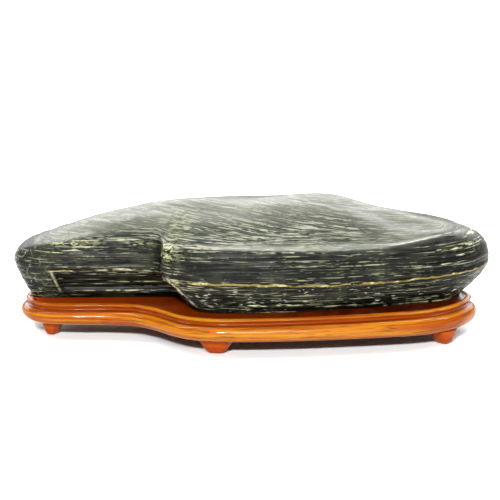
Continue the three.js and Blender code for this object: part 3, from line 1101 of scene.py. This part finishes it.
        return {
            "layer": z + dip * Zone.DIP_START.over(step) * Zone.DIP_BACK.outside(y),
            "top": top,
            # Painted sheen, and more gloss, on the back and ends of the top and in the dell at the
            # notch
            "far": np.maximum(far, Zone.DELL.over(angle)) * top,
            "near": Zone.NEAR_START.over(step) * Zone.NEAR_BACK.outside(y),
            "washes": Zone.WASH_START.over(step) * Zone.WASH_BACK.outside(y),
            "threads": Zone.THREAD_TOP.outside(step) * (1 - calm),
            "dashes": Zone.DASHES.over(angle) * Zone.DASH_TOP.outside(z),
            "cover": (seated * Zone.COVER_TOP.outside(step) * Zone.COVER_NOSE.outside(nose_angle)
                      * Zone.COVER_END.outside(angle)),
            "below": below,
            "vein": veins * face,
            "nose": Zone.NOSE.over(nose_angle) * face,
            "worn": np.clip(corner + Zone.BROW_BAND.over(z) * brow, 0, 1),
            # Painted highlights along the cliff edge, the split under the ledge and the rim
            "edge": np.clip(cliff + split + Zone.LINE_ROW.over(past) * lines, 0, 1) * seated,
            # A waxed band along the front rim: glossier, and painted with a sheen
            "polish": Zone.POLISH_AND_SHEEN_ROW.over(past) * Zone.POLISH_AND_SHEEN.over(angle),
            "shade": Zone.SHADE.over(angle) * Zone.SHADE_TOP.outside(z) * seated,
        }

    def strata(self, slate: Material) -> Relief:
        """The tree that cuts the layers into the smooth form.

        Args:
            slate: Material that the tree sets.

        Returns:
            The relief, with named sizes.
        """
        r = Relief(name="strata_relief")
        spacing = r.given("Layer Spacing")
        depth = r.given("Layer Depth")
        waver = r.given("Waver")
        x, y, _ = r.separate(r.place())
        wander = r.math("SUBTRACT", r.noise(r.place(), *self.wander), 0.5)
        level = r.math("ADD", r.mark("layer"), r.times(wander, waver))

        def layers(pattern: Pattern) -> Socket:
            """Noise that is long in the layers and some spacings thick."""
            return r.spread(r.drawn(pattern, x, y, level, spacing=spacing), *pattern.shown)

        height = r.math("ADD", layers(self.shelves), r.times(layers(self.broad), self.broad_share))
        height = r.math("ADD", height, layers(self.chips))
        height = r.times(r.times(height, depth), r.mark("cover"))
        r.close(r.raised(r.kept(r.start.outputs["Geometry"], "layer", level), height), slate)
        return r

    def build(self, finish: SlateFinish) -> Thing:
        """Builds and dresses the stone.

        Args:
            finish: How its surface looks.

        Returns:
            The finished piece.
        """
        rings = np.concatenate([self.face_rings(), self.shoulder_rings(), self.top_rings()])
        made = stacked_mesh("stone_body", rings, (0, MIDDLE_Y, SEAT_FLOOR), None, self.marks(rings))
        self.strata(finish.material()).work(made, Layer_Spacing=self.layer_spacing,
                                            Layer_Depth=self.layer_depth,
                                            Waver=self.layer_waver)
        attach(made, "root")
        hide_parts("stone")
        return made


@dataclass
class Tray:
    """The carved tray of the stand, with its moulded edge and the seat for the stone."""

    columns: int = 440
    smoothing: int = 4
    seat_gap: float = 0.4
    seat_edge: float = 28
    flange_rows: int = 7
    flange_level: float = 25
    underside_level: float = 10.4
    shelf_rows: int = 16
    # The flange is partly stained and partly painted shade; it is painted darker towards the right end
    # and lighter towards the left
    shelf_stain_and_shade: float = 0.8
    side_shade: float = 0.85
    side_reach: float = 90
    half_length: float = 160
    ripple_depth: float = 0.25
    ripple_length: float = 16
    ripple_height: float = 6

    def section(self) -> Array:
        """The edge section, smoothed between its rows."""
        rows = [EDGE_SECTION[0]]
        last = len(EDGE_SECTION) - 1
        for i in range(last):
            near = (EDGE_SECTION[min(max(j, 0), last)] for j in range(i - 1, i + 3))
            before, start, end, after = near
            if np.allclose(start, end):
                continue
            for share in np.arange(1, self.smoothing + 1) / self.smoothing:
                rows.append(hermite(start, end, (end - before) / 2, (after - start) / 2, share))
        return np.array(rows)

    def rings(self) -> tuple[Array, dict[str, Array]]:
        """Rings of the whole tray, and the values that its finish reads at each point."""
        at = even_angles(self.columns)
        bead = around(Outline.BEAD, at)
        base = around(Outline.BASE, at)
        out = ring_outward(bead)
        rows = []
        stain = []
        flush = []
        for distance, height, share in self.section():
            xy = bead + out * distance
            rows.append(np.column_stack([xy, height + TILT * share * xy[:, 0]]))
            # Darker in the groove and quirk; the flange is partly stained, partly painted shade under
            # the stone; the underside is painted dark so less light bounces under the tray
            stain.append(max(Moulding.GROOVE.over(height),
                             Moulding.QUIRK.over(height) * (distance > 0),
                             Moulding.FLANGE.over(-distance) * (height > self.flange_level),
                             float(height < self.underside_level)))
            flush.append(Moulding.FLUSH.over(height))
        edge = base + ring_outward(base) * self.seat_gap
        brink = rows[-1]
        seat = np.column_stack([edge, self.seat_edge + TILT * edge[:, 0]])
        for step in np.linspace(0, 1, self.flange_rows + 1)[1:]:
            rows.append(brink + (seat - brink) * step)
        rows.append(np.column_stack([edge, np.full(len(at), SEAT_FLOOR)]))
        # The flange rows are partly stained and partly painted shade under the stone; the seat floor
        # under the stone is painted full dark
        stain += [self.shelf_stain_and_shade] * self.flange_rows + [1.0]
        flush += [1.0] * (self.flange_rows + 1)
        rings = np.array(rows)
        across = np.linalg.norm(np.diff(rings, axis=0), axis=2).mean(axis=1)
        across = np.concatenate([[0], np.cumsum(across)])
        free = np.ones(len(rows))
        free[:2] = 0
        free[-self.flange_rows - 1:] = 0
        marks = {"stain": stain, "flush": flush, "across": across, "free": free}
        marks = {name: np.repeat(np.array(values)[:, None], self.columns, axis=1)
                 for name, values in marks.items()}
        # Painted shade on the upper rows of the edge and the flange, darker towards the right end and
        # lighter towards the left
        aside = np.minimum(bead[:, 0], self.side_reach) / self.half_length
        marks["stain"][-self.shelf_rows:] *= 1 + self.side_shade * aside
        # Painted light: a paler band along the front middle of the torus
        marks["pale"] = Moulding.LIT_TORUS.over(rings[..., 2]) * Moulding.LIT_FRONT.over(at)
        reach = np.cumsum(np.linalg.norm(bead - np.roll(bead, 1, axis=0), axis=1))
        turn = 2 * math.pi * reach / reach[-1]
        radius = reach[-1] / (2 * math.pi)
        marks["loop_x"] = np.broadcast_to(radius * np.cos(turn), rings.shape[:2])
        marks["loop_y"] = np.broadcast_to(radius * np.sin(turn), rings.shape[:2])
        return rings, marks

    def carving(self, wood: Material) -> Relief:
        """The tree that leaves the slight ripple of hand carving.

        Args:
            wood: Material that the tree sets.

        Returns:
            The relief, with named sizes.
        """
        r = Relief(name="carving_ripple")
        depth = r.given("Ripple Depth")
        length = r.given("Ripple Length")
        ripple = r.drawn(Pattern(length, self.ripple_height, 1, 0.4), *r.separate(r.place()))
        ripple = r.math("SUBTRACT", ripple, 0.5)
        height = r.times(r.times(ripple, depth), r.mark("free"))
        r.close(r.raised(r.start.outputs["Geometry"], height), wood)
        return r

    def build(self, finish: VarnishFinish) -> Thing:
        """Builds and dresses the tray.

        Args:
            finish: How its wood looks.

        Returns:
            The finished piece.
        """
        rings, marks = self.rings()
        made = stacked_mesh("carved_tray", rings, (0, MIDDLE_Y, rings[0, 0, 2]),
                            (0, MIDDLE_Y, SEAT_FLOOR), marks)
        self.carving(finish.material()).work(made, Ripple_Depth=self.ripple_depth,
                                             Ripple_Length=float(self.ripple_length))
        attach(made, "root")
        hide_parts("stand_tray")
        return made


@dataclass
class Feet:
    """The six carved feet under the edge of the tray."""

    columns: int = 48
    depth: float = 13
    height: float = 10.25
    roundness: float = 0.58

    def squared(self, wave: Array) -> Array:
        """A sine or cosine that makes a circle squarer."""
        return np.sign(wave) * np.abs(wave) ** self.roundness

    def foot(self) -> Thing:
        """One foot standing at the origin with its outer face to the front."""
        turn = np.radians(even_angles(self.columns))
        across = self.squared(np.cos(turn))
        inwards = self.squared(np.sin(turn))
        rows = []
        for height, half_width, lean in FOOT_SECTION:
            half_depth = self.depth / 2 + np.where(inwards < 0, lean, min(lean, 0.0))
            rows.append(np.column_stack([across * half_width, inwards * half_depth,
                                         np.full(self.columns, height)]))
        rings = np.array(rows)
        marks = {"loop_x": rings[..., 0], "loop_y": rings[..., 1], "across": rings[..., 2]}
        return stacked_mesh("stand_feet", rings, (0, 0, 0), (0, 0, self.height), marks)

    def places(self) -> Thing:
        """One point for each foot, with the turn that faces it outwards and its width."""
        at, inset, width = np.array(list(FEET.values()), dtype=float).T
        step = 0.01
        out = outward(around(Outline.BEAD, at + step) - around(Outline.BEAD, at - step))
        xy = around(Outline.BEAD, at) - out * (inset + self.depth / 2)[:, None]
        mesh = bpy.data.meshes.new("foot_places")
        mesh.from_pydata((np.column_stack([xy, np.zeros(len(at))]) * MM).tolist(), [], [])
        keep(mesh, {"turn": np.arctan2(out[:, 1], out[:, 0]) + math.pi / 2, "width": width})
        return placed("foot_places", mesh)

    def setting_out(self, wood: Material) -> Relief:
        """The tree that stands one foot on each place.

        Args:
            wood: Material that the tree sets.

        Returns:
            The relief, with the places as a named input.
        """
        r = Relief(name="feet_setting_out")
        seen = r.node("GeometryNodeObjectInfo")
        r.feed(seen.inputs["Object"], r.given("Places", "Object"))
        stood = r.result(r.node("GeometryNodeInstanceOnPoints"),
                         Points=seen.outputs["Geometry"], Instance=r.start.outputs["Geometry"],
                         Rotation=r.combine(0.0, 0.0, r.mark("turn")),
                         Scale=r.combine(r.mark("width"), 1.0, 1.0))
        r.close(stood, wood)
        return r

    def build(self, finish: VarnishFinish) -> Thing:
        """Builds and dresses the feet.

        Args:
            finish: How their wood looks.

        Returns:
            The finished piece.
        """
        made = self.foot()
        places = self.places()
        self.setting_out(finish.material()).work(made, Places=places)
        bpy.data.objects.remove(places)
        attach(made, "root")
        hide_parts(*FEET)
        return made


@dataclass(frozen=True)
class Lamp:
    """A soft light: its middle and size in metres, its turn in degrees, its power in watts."""

    name: str
    middle: Vector
    turn: Vector
    size: tuple[float, float]
    power: float


@dataclass
class Studio:
    """The pale floor, the soft lights and the camera."""

    floor_half: float = 4.0
    elevation: float = 13.3
    target: Vector = (-0.00108, 0.0135, 0.059)
    distance: float = 1.5
    lens: float = 150.55
    sight: float = 20
    surroundings: float = 0.32
    front_strength: float = 3.4
    front_softness: float = 6
    front_rise: float = 30
    front_turn: float = -10
    lamps: tuple[Lamp, ...] = (
        Lamp("front_strip", (0.1, -2.2, 1.3), (60, 0, 3), (1.2, 0.12), 46),
        Lamp("overhead_strip", (0, 0, 1.1), (0, 0, 0), (3, 0.14), 34),
        Lamp("back_light", (0, 1.95, 0.88), (-65, 0, 0), (4.6, 0.8), 66),
    )

    def lay_floor(self, finish: PaperFinish) -> None:
        """Lays the floor under the feet.

        Args:
            finish: How the floor looks.
        """
        h = self.floor_half
        mesh = bpy.data.meshes.new("floor")
        mesh.from_pydata([(-h, -h, 0), (h, -h, 0), (h, h, 0), (-h, h, 0)], [], [(0, 1, 2, 3)])
        mesh.materials.append(finish.material())
        floor = placed("floor", mesh)
        floor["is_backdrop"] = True

    def hang(self, lamp: Lamp) -> None:
        """Hangs one soft light.

        Args:
            lamp: Its place, size and power.
        """
        light = bpy.data.lights.new(lamp.name, "AREA")
        light.shape = "RECTANGLE"
        light.size, light.size_y = lamp.size
        light.energy = lamp.power
        made = placed(lamp.name, light)
        made.location = lamp.middle
        made.visible_camera = False
        made.rotation_euler = [math.radians(angle) for angle in lamp.turn]

    def light_front(self) -> None:
        """Lights the front from afar, and all of it a little from everywhere."""
        light = bpy.data.lights.new("front_light", "SUN")
        light.energy = self.front_strength
        light.angle = math.radians(self.front_softness)
        turn = (math.radians(90 - self.front_rise), 0, math.radians(self.front_turn))
        placed("front_light", light).rotation_euler = turn
        world = bpy.data.worlds.new("surroundings")
        world.use_nodes = True
        background = world.node_tree.nodes["Background"]
        background.inputs["Strength"].default_value = self.surroundings
        background.inputs["Color"].default_value = (1, 1, 1, 1)
        bpy.context.scene.world = world

    def set_camera(self) -> None:
        """Places the camera at the photograph's viewing angle."""
        tilt = math.radians(self.elevation)
        lens = bpy.data.cameras.new("camera")
        lens.lens = self.lens
        lens.clip_end = self.sight
        camera = placed("camera", lens)
        camera.location = (self.target[0], self.target[1] - self.distance * math.cos(tilt),
                           self.target[2] + self.distance * math.sin(tilt))
        camera.rotation_euler = (math.pi / 2 - tilt, 0, 0)
        bpy.context.scene.camera = camera

    def build(self) -> None:
        """Sets up the whole studio."""
        self.lay_floor(PaperFinish())
        for lamp in self.lamps:
            self.hang(lamp)
        self.light_front()
        bpy.context.scene.view_settings.view_transform = "Standard"
        self.set_camera()


def keep_sizes() -> None:
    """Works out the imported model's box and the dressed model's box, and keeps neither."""
    boxes = {"cad": CAD_BOX, "visual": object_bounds()}
    {name: [list(map(float, corner)) for corner in box] for name, box in boxes.items()}


def main() -> None:
    """Builds the stone, its stand and the studio."""
    logging.basicConfig(level=logging.INFO, format="%(message)s")
    tray_finish = VarnishFinish("varnished_wood", light=(0.31, 0.108, 0.002),
                                deep=(0.2, 0.035, 0.001), flush=(0.19, 0.023, 0.0),
                                stain=(0.03, 0.003, 0.0), coat=0.34)
    # The feet's wood is redder and darker than the tray's, partly for their end grain and partly as
    # painted shade
    feet_finish = VarnishFinish("foot_wood", light=(0.29, 0.045, 0.0), deep=(0.22, 0.025, 0.0),
                                flush=(0.2, 0.02, 0.0), stain=(0.1, 0.01, 0.0), coat=0.3)
    pieces = [Stone().build(SlateFinish()), Tray().build(tray_finish), Feet().build(feet_finish)]
    for piece in pieces:
        LOG.info("%s: %d faces", piece.name, len(piece.data.polygons))
    Studio().build()
    keep_sizes()


if __name__ == "__main__":
    main()
